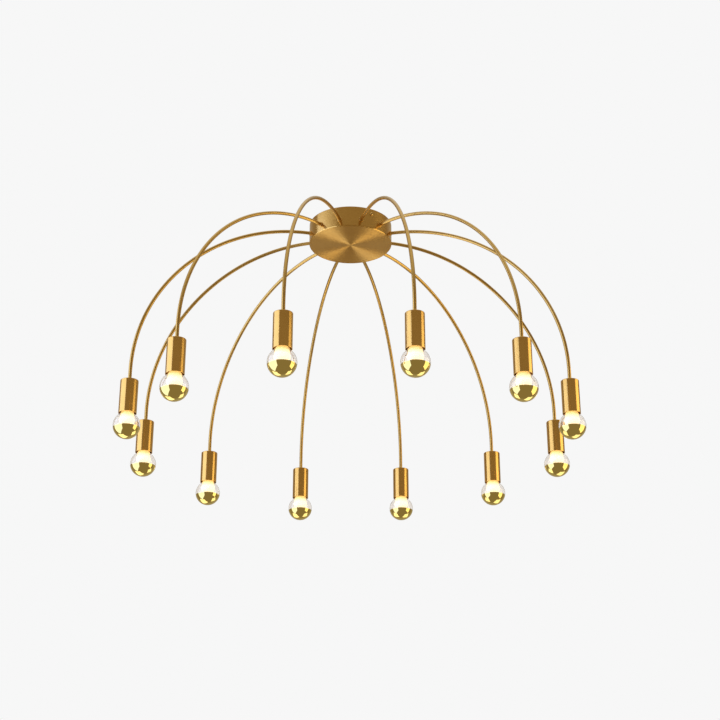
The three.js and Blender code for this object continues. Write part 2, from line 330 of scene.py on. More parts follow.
@dataclass(frozen=True)
class MouldedPlastic:
    """A moulded plastic with a fine spark-eroded texture and slightly uneven tone and gloss."""

    name: str
    colour: Colour
    roughness: float
    stripe: Colour | None = None

    def material(self) -> bpy.types.Material:
        """Builds the node tree.

        Returns:
            The material.
        """
        sheet = NodeSheet(self.name)
        shader = sheet.add("ShaderNodeBsdfPrincipled")
        place = sheet.place()
        texture = sheet.noise(place, 2600.0, 3.0)
        patches = sheet.noise(place, 90.0, 3.0)
        darker = tuple(c * 0.78 for c in self.colour)
        colour = sheet.mix(sheet.spread(patches, 0.0, 0.6), self.colour, darker)
        if self.stripe:
            around = sheet.part(sheet.add("ShaderNodeUVMap").outputs[0], 0)
            across = sheet.math("COSINE", sheet.math("MULTIPLY", around, 2 * math.pi))
            colour = sheet.mix(sheet.math("GREATER_THAN", across, 0.35), colour, self.stripe)
        sheet.link(colour, shader.inputs["Base Color"])
        sheet.link(
            sheet.spread(patches, self.roughness * 0.85, self.roughness * 1.2), shader.inputs["Roughness"]
        )
        sheet.link(sheet.bump(texture, 0.00003, 0.25), shader.inputs["Normal"])
        return sheet.surface(shader)


@dataclass(frozen=True)
class LampGlass:
    """Clear blown glass with slight waviness and a trace of dust."""

    name: str
    tint: Colour
    roughness: float

    def material(self) -> bpy.types.Material:
        """Builds the node tree.

        Returns:
            The material.
        """
        sheet = NodeSheet(self.name)
        shader = sheet.add("ShaderNodeBsdfPrincipled")
        place = sheet.place()
        waves = sheet.noise(place, 55.0, 1.0)
        dust = sheet.noise(place, 420.0, 4.0)
        pale = tuple(min(1.0, c * 1.02) for c in self.tint)
        sheet.link(sheet.mix(sheet.spread(waves, 0.0, 1.0), self.tint, pale), shader.inputs["Base Color"])
        sheet.link(
            sheet.spread(dust, self.roughness * 0.5, self.roughness * 1.6), shader.inputs["Roughness"]
        )
        sheet.link(sheet.bump(waves, 0.0003, 0.12), shader.inputs["Normal"])
        shader.inputs["Transmission Weight"].default_value = 1.0
        shader.inputs["IOR"].default_value = 1.45
        return sheet.surface(shader)


@dataclass(frozen=True)
class MirrorCoat:
    """A metal film laid on blown glass: a sharp mirror with waviness, fine haze and a thinner, paler rim."""

    name: str
    colour: Colour
    rim_colour: Colour
    rim_height: float
    rim_width: float

    def material(self) -> bpy.types.Material:
        """Builds the node tree.

        Returns:
            The material.
        """
        sheet = NodeSheet(self.name)
        shader = sheet.add("ShaderNodeBsdfPrincipled")
        place = sheet.place()
        waves = sheet.noise(place, 42.0, 1.0)
        haze = sheet.noise(place, 240.0, 5.0)
        level = sheet.math("ADD", sheet.part(place, 2), sheet.math("MULTIPLY", haze, 0.0006))
        rim = sheet.ramp(level, self.rim_height - self.rim_width, self.rim_height)
        sheet.link(sheet.mix(rim.outputs[0], self.colour, self.rim_colour), shader.inputs["Base Color"])
        sheet.link(sheet.spread(haze, 0.02, 0.06), shader.inputs["Roughness"])
        sheet.link(sheet.bump(waves, 0.0004, 0.15), shader.inputs["Normal"])
        shader.inputs["Metallic"].default_value = 1.0
        return sheet.surface(shader)


@dataclass(frozen=True)
class Glow:
    """A lit opal surface, slightly uneven in brightness and warmer in tone towards the lamp's neck."""

    name: str
    colour: Colour
    warm: Colour
    strength: float
    warm_from: float = 11 * MM
    warm_to: float = 21 * MM

    def material(self) -> bpy.types.Material:
        """Builds the node tree.

        Returns:
            The material.
        """
        sheet = NodeSheet(self.name)
        shader = sheet.add("ShaderNodeBsdfPrincipled")
        place = sheet.place()
        grains = sheet.noise(place, 700.0, 3.0)
        rise = sheet.ramp(sheet.part(place, 2), self.warm_from, self.warm_to)
        paler = sheet.mix(sheet.spread(grains, 0.0, 0.3), self.colour, self.warm)
        tone = sheet.mix(rise.outputs[0], paler, self.warm)
        sheet.link(tone, shader.inputs["Base Color"])
        sheet.link(tone, shader.inputs["Emission Color"])
        sheet.link(sheet.spread(grains, 0.35, 0.6), shader.inputs["Roughness"])
        shader.inputs["Emission Strength"].default_value = self.strength
        return sheet.surface(shader)


class Workshop:
    """The finishes, made once each and handed out by name."""

    def __init__(self) -> None:
        """Builds every finish."""
        brass = (0.80, 0.49, 0.14)
        deep = (0.66, 0.37, 0.09)
        edge = (0.95, 0.70, 0.30)
        around, along = Grain.AROUND, Grain.ALONG
        tube, tube_deep = (0.66, 0.42, 0.12), (0.52, 0.3, 0.07)
        finishes = (
            WorkedMetal(
                "face_brass", brass, deep, edge, 0.43, around, 0.97, line_depth=0.000003, lacquer=0.15
            ),
            WorkedMetal(
                "brushed_brass", brass, deep, None, 0.2, around, 0.8, line_depth=0.0000005, lacquer=0.3
            ),
            WorkedMetal("tube_brass", tube, tube_deep, None, 0.26, along, lacquer=0.3),
            WorkedMetal("turned_brass", (0.7, 0.47, 0.16), deep, edge, 0.28, around, 0.4),
            WorkedMetal("cap_brass", (0.72, 0.62, 0.42), (0.6, 0.5, 0.3), edge, 0.25, around, 0.3),
            WorkedMetal("zinc_plate", (0.72, 0.73, 0.75), (0.6, 0.61, 0.63), (0.85, 0.86, 0.88), 0.42),
            WorkedMetal("bright_steel", (0.78, 0.79, 0.8), (0.64, 0.65, 0.67), (0.9, 0.9, 0.92), 0.3),
            WorkedMetal("solder", (0.7, 0.7, 0.7), (0.55, 0.55, 0.56), (0.8, 0.8, 0.8), 0.35),
            MouldedPlastic("holder_plastic", (0.86, 0.84, 0.78), 0.4),
            MouldedPlastic("block_plastic", (0.86, 0.84, 0.77), 0.42),
            MouldedPlastic("splice_plastic", (0.2, 0.2, 0.21), 0.5),
            MouldedPlastic("cable_sheath", (0.8, 0.78, 0.74), 0.5),
            MouldedPlastic("earth_sheath", (0.16, 0.45, 0.08), 0.45, stripe=(0.85, 0.75, 0.05)),
            MouldedPlastic("cap_glass", (0.03, 0.03, 0.035), 0.15),
            LampGlass("clear_glass", (0.92, 0.885, 0.85), 0.03),
            Glow("lamp_opal", (1.0, 0.9, 0.66), (1.0, 0.66, 0.2), 1.0),
            MirrorCoat("mirror_coat", (0.82, 0.67, 0.25), (0.95, 0.86, 0.5), -4.0 * MM, 1.0 * MM),
        )
        self.made = {finish.name: finish.material() for finish in finishes}

    def __getitem__(self, name: str) -> bpy.types.Material:
        """Returns a finish by its name."""
        return self.made[name]


@dataclass(frozen=True)
class Ring:
    """One ring of a turned piece: its radius and height, and its corner count if it isn't round."""

    radius: float
    height: float
    corners: int = 0

    def at(self, angle: float) -> float:
        """Returns the ring's radius at an angle."""
        if not self.corners:
            return self.radius
        half = math.pi / self.corners
        return self.radius * math.cos(half) / math.cos((angle % (2 * half)) - half)


class Shaper:
    """Makes the meshes. Turned, swept and threaded ones have a map: around the piece, and metres along it."""

    SMOOTH_ANGLE = math.radians(32)
    WASHER_THICKNESS = 0.5 * MM
    SAME_PLACE = 1e-7

    @classmethod
    def finish_mesh(cls, name: str, shape: bmesh.types.BMesh) -> bpy.types.Mesh:
        """Cleans a mesh, turns its faces outwards and shades it smooth with sharp corners.

        Args:
            name: the mesh's name.
            shape: the geometry, which is freed.

        Returns:
            The mesh.
        """
        bmesh.ops.remove_doubles(shape, verts=shape.verts, dist=cls.SAME_PLACE)
        bmesh.ops.dissolve_degenerate(shape, edges=shape.edges, dist=1e-8)
        bmesh.ops.recalc_face_normals(shape, faces=shape.faces)
        mesh = bpy.data.meshes.new(name)
        shape.to_mesh(mesh)
        shape.free()
        mesh.shade_smooth()
        mesh.set_sharp_from_angle(angle=cls.SMOOTH_ANGLE)
        return mesh

    @staticmethod
    def skin(shape: bmesh.types.BMesh, rows: list[list[Vector]], lengths: list[float], wrap: bool) -> None:
        """Covers a grid of points with faces and maps them.

        Args:
            shape: the mesh to add to.
            rows: rows of points, each row the same length.
            lengths: the map's second coordinate of each row, in metres.
            wrap: whether the last row joins the first.
        """
        layer = shape.loops.layers.uv.verify()
        grid = [[shape.verts.new(p) for p in row] for row in rows]
        count = len(rows[0])
        last = len(rows) if wrap else len(rows) - 1
        for i in range(last):
            j = (i + 1) % len(rows)
            far = lengths[j] if j else 2 * lengths[-1] - lengths[-2]
            for k in range(count):
                n = (k + 1) % count
                face = shape.faces.new((grid[i][k], grid[i][n], grid[j][n], grid[j][k]))
                corners = ((k, lengths[i]), (k + 1, lengths[i]), (k + 1, far), (k, far))
                for loop, (u, v) in zip(face.loops, corners):
                    loop[layer].uv = (u / count, v)

    @staticmethod
    def supported(rings: list[Ring], closed: bool) -> list[Ring]:
        """Adds a ring near each end of a long stretch, so that shading and wear stay close to the edges.

        Args:
            rings: the profile.
            closed: whether it joins back to its start.

        Returns:
            The profile with the added rings.
        """
        near, result = 0.7 * MM, []
        following = rings[1:] + ([rings[0]] if closed else [])
        for ring, after in zip(rings, following):
            result.append(ring)
            length = math.hypot(after.radius - ring.radius, after.height - ring.height)
            if length > 3 * near and ring.corners == after.corners:
                for share in (near / length, 1 - near / length):
                    radius = ring.radius + (after.radius - ring.radius) * share
                    height = ring.height + (after.height - ring.height) * share
                    result.append(Ring(radius, height, ring.corners))
        return result if closed else [*result, rings[-1]]

    @classmethod
    def turned(cls, name: str, rings: list[Ring], segments: int, closed: bool = False) -> bpy.types.Mesh:
        """Turns rings about Z.

        Args:
            name: the mesh's name.
            rings: the rings in order along the profile. Without closed, the first and last are on the axis.
            segments: facets round the piece.
            closed: whether the profile joins back to its start.

        Returns:
            The mesh.
        """
        shape = bmesh.new()
        rings = cls.supported(rings, closed)
        rows, lengths, length = [], [], 0.0
        for index, ring in enumerate(rings):
            if index:
                before = rings[index - 1]
                length += math.hypot(ring.radius - before.radius, ring.height - before.height)
            angles = [2 * math.pi * k / segments for k in range(segments)]
            rows.append(
                [Vector((ring.at(a) * math.cos(a), ring.at(a) * math.sin(a), ring.height)) for a in angles]
            )
            lengths.append(length)
        cls.skin(shape, rows, lengths, closed)
        return cls.finish_mesh(name, shape)

    @classmethod
    def washer(cls, name: str, bore: float, radius: float, segments: int) -> bpy.types.Mesh:
        """Makes a flat ring on z = 0.

        Args:
            name: the mesh's name.
            bore: the radius of its hole.
            radius: its outer radius.
            segments: facets round it.

        Returns:
            The mesh.
        """
        top = cls.WASHER_THICKNESS
        rings = [Ring(bore, 0), Ring(radius, 0), Ring(radius, top), Ring(bore, top)]
        return cls.turned(name, rings, segments, closed=True)

    @classmethod
    def swept(cls, name: str, path: list[Vector], radius: float, bore: float, sides: int) -> bpy.types.Mesh:
        """Sweeps a round tube or wire along a path.

        Args:
            name: the mesh's name.
            path: the centreline.
            radius: the outer radius.
            bore: the inner radius, or 0 for a solid wire with closed ends.
            sides: facets round the tube.

        Returns:
            The mesh.
        """
        shape = bmesh.new()
        frames, normal = [], None
        for i, point in enumerate(path):
            tangent = (path[min(i + 1, len(path) - 1)] - path[max(i - 1, 0)]).normalized()
            if normal is None:
                normal = tangent.orthogonal()
                if abs(tangent.y) < 1e-6:
                    normal = Vector((0, 1, 0))
            normal = (normal - tangent * normal.dot(tangent)).normalized()
            frames.append((point, normal, tangent.cross(normal)))
        lengths = [0.0]
        for a, b in zip(path, path[1:]):
            lengths.append(lengths[-1] + (b - a).length)

        def ring(index: int, size: float) -> list[Vector]:
            """Returns the points of a circle across the path."""
            point, first, second = frames[index]
            turns = [2 * math.pi * k / sides for k in range(sides)]
            return [point + (first * math.cos(t) + second * math.sin(t)) * size for t in turns]

        order = list(range(len(path)))
        rows = [ring(i, radius) for i in order]
        if bore:
            rows += [ring(i, bore) for i in reversed(order)]
            cls.skin(shape, rows, lengths + [lengths[-1] + x for x in lengths], True)
        else:
            rows = [ring(0, 0.0), *rows, ring(order[-1], 0.0)]
            cls.skin(shape, rows, [0.0, *lengths, lengths[-1]], False)
        return cls.finish_mesh(name, shape)

    @classmethod
    def threaded(
        cls,
        name: str,
        crest: float,
        root: float,
        back: float,
        pitch: float,
        length: float,
        segments: int,
        soft: bool,
    ) -> bpy.types.Mesh:
        """A screw thread about Z, from 0 up to its length, with its ends tapered into its root.

        Args:
            name: the mesh's name.
            crest: the thread's outer radius.
            root: the radius between the threads.
            back: the radius of its smooth side, where it lies on the piece it is cut in.
            pitch: the rise of one turn.
            length: the threaded length.
            segments: facets per turn.
            soft: whether the thread is rolled round, as on a lamp cap, and not cut sharp.

        Returns:
            The mesh.
        """
        shape = bmesh.new()
        layer = shape.loops.layers.uv.verify()
        steps = 8 if soft else 4
        turns = length / pitch - 1
        count = max(int(turns * segments), segments)
        columns = []
        for i in range(count + 1):
            angle = 2 * math.pi * i / segments
            fade = min(1.0, i / (segments * 0.5), (count - i) / (segments * 0.5))
            column = []
            for k in range(steps + 1):
                share = k / steps
                wave = 0.5 - 0.5 * math.cos(2 * math.pi * share) if soft else 1 - abs(2 * share - 1)
                radius = root + (crest - root) * wave * fade
                height = pitch * (i / segments + share)
                column.append(shape.verts.new((radius * math.cos(angle), radius * math.sin(angle), height)))
            columns.append(column)
        for i, (left, right) in enumerate(zip(columns, columns[1:])):
            for k in range(steps):
                face = shape.faces.new((left[k], right[k], right[k + 1], left[k + 1]))
                for loop, (du, dv) in zip(face.loops, ((0, 0), (1, 0), (1, 1), (0, 1))):
                    height = pitch * (i / segments + (k + dv) / steps)
                    loop[layer].uv = ((i % segments + du) / segments, height)
        bmesh.ops.remove_doubles(shape, verts=shape.verts, dist=cls.SAME_PLACE)
        cls.back_up(shape, back)
        return cls.finish_mesh(name, shape)

    @staticmethod
    def back_up(shape: bmesh.types.BMesh, radius: float) -> None:
        """Closes an open skin about Z with a second one behind it, at one radius.

        Args:
            shape: the mesh to close.
            radius: the radius of the second skin.
        """
        layer = shape.loops.layers.uv.verify()
        rim = [edge for edge in shape.edges if len(edge.link_faces) == 1]
        front = shape.faces[:]
        behind = {}
        for vert in shape.verts[:]:
            out = Vector(vert.co.xy).normalized() * radius
            behind[vert] = shape.verts.new((out.x, out.y, vert.co.z))
        for face in front:
            loops = list(face.loops)[::-1]
            copy = shape.faces.new([behind[loop.vert] for loop in loops])
            for loop, source in zip(copy.loops, loops):
                loop[layer].uv = source[layer].uv
        for edge in rim:
            first, second = edge.verts
            shape.faces.new((first, second, behind[second], behind[first]))

    @classmethod
    def boxed(cls, name: str, low: Vector, high: Vector, edge: float) -> bpy.types.Mesh:
        """A block with rounded edges.

        Args:
            name: the mesh's name.
            low: its lowest corner.
            high: its highest corner.
            edge: the radius of its edges.

        Returns:
            The mesh.
        """
        shape = bmesh.new()
        bmesh.ops.create_cube(shape, size=1.0)
        middle = (low + high) / 2
        for vert in shape.verts:
            vert.co = Vector(a * b + c for a, b, c in zip(vert.co, high - low, middle))
        bmesh.ops.bevel(shape, geom=shape.edges[:], offset=edge, segments=3, profile=0.5, affect="EDGES")
        return cls.finish_mesh(name, shape)

    @staticmethod
    def fillet(
        centre: tuple[float, float], radius: float, start: float, end: float, steps: int = 6
    ) -> list[Ring]:
        """Rings along a round corner of a profile.

        Args:
            centre: the arc's centre, as radius and height.
            radius: the arc's radius.
            start: the first angle in degrees, 0 pointing outwards and 90 up.
            end: the last angle in degrees.
            steps: facets in the arc.

        Returns:
            The rings.
        """
        angles = [math.radians(start + (end - start) * i / steps) for i in range(steps + 1)]
        return [Ring(centre[0] + radius * math.cos(a), centre[1] + radius * math.sin(a)) for a in angles]


class Fitter:
    """Puts a mesh in the scene, dressed and riding its body."""

    def __init__(self, workshop: Workshop) -> None:
        """Keeps the finishes.

        Args:
            workshop: the finishes.
        """
        self.workshop = workshop
        self.count = 0

    def put(
        self,
        name: str,
        mesh: bpy.types.Mesh,
        finish: str,
        place: Matrix,
        body: str = FIXED_BODY,
        replaces: tuple[str, ...] = (),
    ) -> bpy.types.Object:
        """Places one piece.

        Args:
            name: the piece's name.
            mesh: its mesh.
            finish: the name of its finish.
            place: where it goes.
            body: the body it rides.
            replaces: the frame nodes it stands for.

        Returns:
            The object.
        """
        if not mesh.materials:
            mesh.materials.append(self.workshop[finish])
        piece = bpy.data.objects.new(name, mesh)
        bpy.context.scene.collection.objects.link(piece)
        piece.matrix_world = place
        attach(piece, body)
        if replaces:
            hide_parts(*replaces)
        self.count += 1
        return piece


@dataclass
class Canopy:
    """The shallow round drum against the ceiling, turned in one piece with a soft lower edge."""

    radius: float
    height: float
    wall: float = 1.2 * MM
    edge: float = 1.6 * MM
    rim: float = 0.3 * MM

    def build(self, fitter: Fitter) -> None:
        """Makes the drum.

        Args:
            fitter: places the pieces.
        """
        inner = self.radius - self.wall
        low = -self.height
        rings = [Ring(0.0, low)]
        rings += [Ring(self.radius * share, low) for share in (0.12, 0.3, 0.5, 0.7, 0.88)]
        rings += Shaper.fillet((self.radius - self.edge, low + self.edge), self.edge, -90, 0)
        rings += Shaper.fillet((self.radius - self.rim, -self.rim), self.rim, 0, 90, 3)
        rings += [Ring(inner, 0.0), Ring(inner, low + self.wall + MM)]
        rings += Shaper.fillet((inner - MM, low + self.wall + MM), MM, 0, -90, 3)
        rings += [Ring(self.radius * share, low + self.wall) for share in (0.7, 0.3, 0.1)]
        rings.append(Ring(0.0, low + self.wall))
        mesh = Shaper.turned("canopy_drum", rings, 192)
        mesh.materials.append(fitter.workshop["face_brass"])
        mesh.materials.append(fitter.workshop["brushed_brass"])
        for face in mesh.polygons:
            outside = Vector(face.center.xy).length > inner + self.wall / 2
            face.material_index = 1 if outside and abs(face.normal.z) < 0.5 else 0
        fitter.put("canopy_drum", mesh, "face_brass", Matrix(), replaces=("canopy_shell",))


@dataclass
class Fixings:
    """What is inside the canopy: the strap against the ceiling, its screws, the terminals and the earth."""

    canopy_radius: float
    angle: float
    screw_depth: float
    block_low: float
    reach: float = 71.2 * MM
    strap_width: float = 24 * MM
    strap_thickness: float = 2 * MM
    leg: float = 14 * MM
    slot_centre: float = 44 * MM
    slot_half: float = 7.5 * MM
    slot_radius: float = 2.5 * MM
    earth_at: float = 26 * MM
    hole_radius: float = 2.3 * MM
    block_length: float = 32 * MM
    block_width: float = 17 * MM
    bend: float = 2.4 * MM
    port_bore: float = 1.5 * MM
    port_radius: float = 2.2 * MM
    earth_washer_bore: float = 2.1 * MM
    earth_washer_radius: float = 4.3 * MM

    def frame(self) -> Matrix:
        """Returns the turn from the strap's own axes, X along it, to the light's."""
        return Matrix.Rotation(self.angle, 4, "Z")

    def outline(self, centre: Vector, half: float, radius: float) -> list[Vector]:
        """Points round a slot or, with no straight part, a round hole.

        Args:
            centre: its centre.
            half: half the straight part's length.
            radius: the radius of its ends.

        Returns:
            The points in order.
        """
        points = []
        for side, start in ((1, -90), (-1, 90)):
            for step in range(13):
                a = math.radians(start + 15 * step)
                points.append(centre + Vector((side * half + radius * math.cos(a), radius * math.sin(a), 0)))
        return points

    def plate(
        self, name: str, outer: list[Vector], holes: list[list[Vector]], thickness: float
    ) -> bpy.types.Mesh:
        """A flat plate with holes, with a fine rounded edge, lying under z = 0.

        Args:
            name: the mesh's name.
            outer: the points round its edge.
            holes: the points round each hole.
            thickness: its thickness.

        Returns:
            The mesh.
        """
        curve = bpy.data.curves.new(name + "_outline", "CURVE")
        curve.dimensions = "2D"
        curve.fill_mode = "BOTH"
        edge = 0.2 * MM
        curve.extrude = thickness / 2 - edge
        curve.bevel_depth = edge
        curve.offset = -edge
        curve.bevel_resolution = 2
        for loop in [outer, *holes]:
            spline = curve.splines.new("POLY")
            spline.points.add(len(loop) - 1)
            for point, place in zip(spline.points, loop):
                point.co = (place.x, place.y, 0.0, 1.0)
            spline.use_cyclic_u = True
        holder = bpy.data.objects.new(name + "_outline", curve)
        mesh = bpy.data.meshes.new_from_object(holder)
        mesh.name = name
        mesh.transform(Matrix.Translation((0, 0, -thickness / 2)))
        bpy.data.objects.remove(holder)
        shape = bmesh.new()
        shape.from_mesh(mesh)
        bpy.data.meshes.remove(mesh)
        return Shaper.finish_mesh(name, shape)

    def screw(self, name: str, head: float, dome: float, shank: float, length: float) -> bpy.types.Mesh:
        """A pan-head screw with a hexagon socket, its head above z = 0 and its shank below.

        Args:
            name: the mesh's name.
            head: the head's radius.
            dome: the head's height.
            shank: the shank's radius.
            length: the shank's length.

        Returns:
            The mesh.
        """
        socket = head * 0.5
        rings = [Ring(0.0, dome * 0.35), Ring(socket, dome * 0.35, 6), Ring(socket, dome * 0.97, 6)]
        rings.append(Ring(socket * 1.12, dome))
        rings += Shaper.fillet((head * 0.68, dome * 0.45), head * 0.32, 80, 0, 5)
        rings += [Ring(head, 0.0), Ring(shank, 0.0)]
        pitch = 0.7 * MM
        for turn in range(int(length / pitch)):
            rings += [Ring(shank, -pitch * (turn + 0.1)), Ring(shank * 0.84, -pitch * (turn + 0.55))]
        rings += [Ring(shank * 0.7, -length), Ring(0.0, -length)]
        return Shaper.turned(name, rings, 36)

    def build_strap(self, fitter: Fitter) -> None:
        """Makes the strap, its bent legs and the side screws.

        Args:
            fitter: places the pieces.
        """
        turn = self.frame()
        half_width, thick = self.strap_width / 2, self.strap_thickness
        bend = self.bend
        flat = self.reach - bend
        corners = [Vector((x * flat, y * half_width, 0)) for x, y in ((-1, -1), (1, -1), (1, 1), (-1, 1))]
        centres = [Vector((side * self.slot_centre, 0, 0)) for side in (-1, 1)]
        holes = [self.outline(centre, self.slot_half, self.slot_radius) for centre in centres]
        holes.append(self.outline(Vector((self.earth_at, 0, 0)), 0.0, self.hole_radius))
        plate = self.plate("strap_plate", corners, holes, thick)
        fitter.put("strap_plate", plate, "zinc_plate", turn, replaces=("mounting_bracket",))
        side = [Vector((x, y * half_width, 0)) for x, y in ((0, -1), (self.leg, -1), (self.leg, 1), (0, 1))]
        hole = self.outline(Vector((self.screw_depth - bend, 0, 0)), 0.0, self.hole_radius)
        leg = self.plate("strap_leg", side, [hole], thick)
        leg.transform(SIDEWAYS)
        shape = bmesh.new()
        steps = 8
        turns = [math.radians(90 - 90 * step / steps) for step in range(steps + 1)]
        outer = [(bend * math.cos(a), -bend + bend * math.sin(a)) for a in turns]
        inner = [((bend - thick) * math.cos(a), -bend + (bend - thick) * math.sin(a)) for a in turns]
        loop = outer + inner[::-1]
        last = len(loop) - 1
        faces = [[shape.verts.new((x, s * half_width, z)) for x, z in loop] for s in (-1, 1)]
        for quad in range(len(loop)):
            n = (quad + 1) % len(loop)
            shape.faces.new((faces[0][quad], faces[0][n], faces[1][n], faces[1][quad]))
        for face in faces:
            for step in range(steps):
                shape.faces.new((face[step], face[step + 1], face[last - 1 - step], face[last - step]))
        corner = Shaper.finish_mesh("strap_bend", shape)
        screw = self.screw("side_screw", 2.8 * MM, 2.2 * MM, 1.85 * MM, 8.5 * MM)
        for end, label in ((0, "front"), (180, "back")):
            spin = turn @ Matrix.Rotation(math.radians(end), 4, "Z")
            out = spin @ Matrix.Translation((flat, 0, 0))
            fitter.put(f"strap_bend_{label}", corner, "zinc_plate", out)
            down = spin @ Matrix.Translation((self.reach, 0, -bend))
            fitter.put(f"strap_leg_{label}", leg, "zinc_plate", down)
            seat = Matrix.Translation((self.canopy_radius + 0.1 * MM, 0, -self.screw_depth))
            facing = spin @ seat @ SIDEWAYS
            name, stands_for = f"side_screw_{label}", (f"canopy_screw_{label}",)
            fitter.put(name, screw, "turned_brass", facing, replaces=stands_for)

    def build_block(self, fitter: Fitter) -> None:
        """Makes the terminal block: a base and three clamps, each with two screws and two wire ports.

        Args:
            fitter: places the pieces.
        """
        turn = self.frame()
        top = -self.strap_thickness - LAYER_GAP
        half_length, half_width = self.block_length / 2, self.block_width / 2
        floor = self.block_low
        deck = top - 4 * MM
        corner = Vector((half_length, half_width, top))
        base = Shaper.boxed("terminal_base", Vector((-half_length, -half_width, deck)), corner, 0.6 * MM)
        stands_for = ("terminal_block",)
        fitter.put("terminal_base", base, "block_plastic", turn, replaces=stands_for)
        width = self.block_length / 3 - 1.2 * MM
        clamp = Shaper.boxed(
            "terminal_clamp",
            Vector((-width / 2, -half_width + 0.6 * MM, floor)),
            Vector((width / 2, half_width - 0.6 * MM, deck + 0.5 * MM)),
            1.1 * MM,
        )
        screw = self.screw("terminal_screw", 2.3 * MM, 1.2 * MM, 1.5 * MM, 2 * MM)
        port = Shaper.washer("terminal_port", self.port_bore, self.port_radius, 24)
        for index, label in enumerate(("live", "neutral", "switched")):
            x = (index - 1) * self.block_length / 3
            along = turn @ Matrix.Translation((x, 0, 0))
            fitter.put(f"terminal_clamp_{label}", clamp, "block_plastic", along)
            for side in (-1, 1):
                tag = f"{label}_{'in' if side < 0 else 'out'}"
                seat = Matrix.Translation((x, side * 4.2 * MM, floor + 0.8 * MM)) @ INVERTED
                fitter.put(f"terminal_screw_{tag}", screw, "turned_brass", turn @ seat)
                face = Matrix.Translation((x, side * (half_width - 0.7 * MM), floor + 5 * MM))
                face = face @ Matrix.Rotation(math.radians(-90 * side), 4, "X")
                fitter.put(f"terminal_port_{tag}", port, "turned_brass", turn @ face)

    def build_earth(self, fitter: Fitter) -> None:
        """Makes the earth screw, its washer and the striped lead to the block.

        Args:
            fitter: places the pieces.
        """
        turn = self.frame()
        seat = -self.strap_thickness - LAYER_GAP
        screw = self.screw("earth_screw_body", 3.8 * MM, 2.2 * MM, 1.85 * MM, 1.9 * MM)
        under = Matrix.Translation((self.earth_at, 0, seat - Shaper.WASHER_THICKNESS))
        place = turn @ under @ INVERTED
        fitter.put("earth_screw_body", screw, "bright_steel", place, replaces=("earth_screw",))
        washer = Shaper.washer("earth_washer", self.earth_washer_bore, self.earth_washer_radius, 36)
        fitter.put("earth_washer", washer, "bright_steel", turn @ under)
        start = Vector((self.earth_at - 3.9 * MM, 0, seat - 1.4 * MM))
        end = Vector((self.block_length / 2 - 0.2 * MM, 0, seat - 8 * MM))
        middle = [start + Vector((-2.2, 0, -0.3)) * MM, Vector((end.x + 2.6 * MM, 0, end.z + 1.2 * MM))]
        path = bezier(start, middle[0], middle[1], end, 14)
        lead = Shaper.swept("earth_wire", path, 1.1 * MM, 0.0, 16)
        fitter.put("earth_wire", lead, "earth_sheath", turn, replaces=("earth_lead",))

    def build(self, fitter: Fitter) -> None:
        """Makes everything in the canopy but the lamp leads.

        Args:
            fitter: places the pieces.
        """
        self.build_strap(fitter)
        self.build_block(fitter)
        self.build_earth(fitter)


def on_ring(angle: float, radius: float, height: float) -> Matrix:
    """Returns the move from the origin to a place on a ring about Z."""
    return Matrix.Translation((radius * math.cos(angle), radius * math.sin(angle), height))


def bezier(a: Vector, b: Vector, c: Vector, d: Vector, steps: int) -> list[Vector]:
    """Points along a cubic curve.

    Args:
        a: its start.
        b: the first handle.
        c: the second handle.
        d: its end.
        steps: how many stretches it is cut into.

    Returns:
        The points.
    """
    points = []
    for i in range(steps + 1):
        t = i / steps
        s = 1 - t
        points.append(a * s**3 + b * 3 * s * s * t + c * 3 * s * t * t + d * t**3)
    return points


@dataclass
class Wiring:
    """The moulded joint under the terminals and the twelve leads that run from it to the arm roots."""

    level: float
    top: float
    end_x: float
    angles: list[float]
    radius: float = 8 * MM
    below: float = 3 * MM
    lead: float = 1.3 * MM
    end_gap: float = 4 * MM

    def build(self, fitter: Fitter) -> None:
        """Makes the joint and the leads.

        Args:
            fitter: places the pieces.
        """
        low = self.level - self.below
        rings = [Ring(0.0, low + 0.6 * MM), Ring(2.2 * MM, low + 0.6 * MM), Ring(2.6 * MM, low)]
        rings += Shaper.fillet((self.radius - MM, low + MM), MM, -90, 0, 4)
        rings += [Ring(self.radius, self.top - 2.4 * MM), Ring(self.radius * 0.93, self.top - 2.2 * MM)]
        rings += Shaper.fillet((self.radius * 0.93 - 0.8 * MM, self.top - 0.8 * MM), 0.8 * MM, 0, 90, 4)
        rings.append(Ring(0.0, self.top))
        joint = Shaper.turned("lead_joint", rings, 48)
        fitter.put("lead_joint", joint, "splice_plastic", Matrix(), replaces=("lamp_wiring",))
        boot = Shaper.turned(
            "lead_boot",
            [Ring(1.35 * MM, 0), Ring(2.3 * MM, 0), Ring(2.1 * MM, 2.5 * MM), Ring(1.35 * MM, 2.8 * MM)],
            20,
            closed=True,
        )
        start = Vector((self.radius - 1.5 * MM, 0, self.level))
        path = [start]
        reach = self.end_x - start.x
        steps = 16
        for i in range(1, steps + 1):
            t = i / steps
            sway = math.sin(math.pi * t) ** 2
            path.append(start + Vector((reach * t, 1.1 * MM * sway, 0.5 * MM * sway)))
        lead = Shaper.swept("lamp_lead", path, self.lead, 0.0, 14)
        for number, angle in enumerate(self.angles, 1):
            turn = Matrix.Rotation(angle, 4, "Z")
            fitter.put(f"lamp_lead_{number:02d}", lead, "cable_sheath", turn)
            out = turn @ Matrix.Translation((self.radius - 0.4 * MM, 0, self.level)) @ SIDEWAYS
            fitter.put(f"lead_boot_{number:02d}", boot, "splice_plastic", out)


